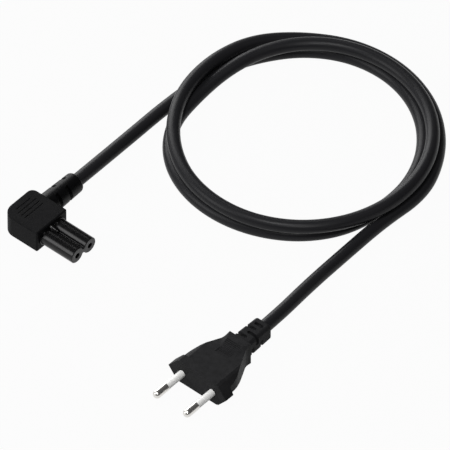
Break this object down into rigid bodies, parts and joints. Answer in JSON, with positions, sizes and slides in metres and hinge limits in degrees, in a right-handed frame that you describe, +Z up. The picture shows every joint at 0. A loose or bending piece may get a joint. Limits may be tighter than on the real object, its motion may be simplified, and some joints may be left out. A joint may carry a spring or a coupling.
{
  "type": "power cord",
  "caption": "Black mains power cord lying in a coil, with a flat pin plug on one end and a right-angled figure-eight appliance connector on the other.",
  "frame": {"origin": "on the surface it lies on, under the middle of the plug's flange", "axes": "+Z up; the plug's pins point along -Y; the connector's nose points along +X"},
  "size_m": [0.1515, 0.2328, 0.013],
  "materials": {
    "moulded_black": "fine moulded grain",
    "hard_black": "smooth gloss",
    "cord_sheath": "satin extruded",
    "nickel": "bright plated",
    "sleeve_white": "satin",
    "carrier_grey": "plain moulded",
    "contact_brass": "turned",
    "strand_copper": "bare stranded",
    "core_brown": "extruded",
    "core_blue": "extruded"
  },
  "bodies": {
    "root": {"connector_boot": "hard_black", "connector_contact_live": "contact_brass", "connector_contact_neutral": "contact_brass", "connector_housing": "moulded_black", "connector_lead_live": "core_brown", "connector_lead_neutral": "core_blue", "connector_nose": "hard_black", "connector_strands_live": "strand_copper", "connector_strands_neutral": "strand_copper", "cord_coil": "cord_sheath", "cord_connector_run": "cord_sheath", "cord_plug_run": "cord_sheath", "plug_body": "moulded_black", "plug_bridge": "carrier_grey", "plug_lead_live": "core_brown", "plug_lead_neutral": "core_blue", "plug_pin_live": "nickel", "plug_pin_neutral": "nickel", "plug_sleeve_live": "sleeve_white", "plug_sleeve_neutral": "sleeve_white", "plug_strands_live": "strand_copper", "plug_strands_neutral": "strand_copper"}
  },
  "joints": []
}
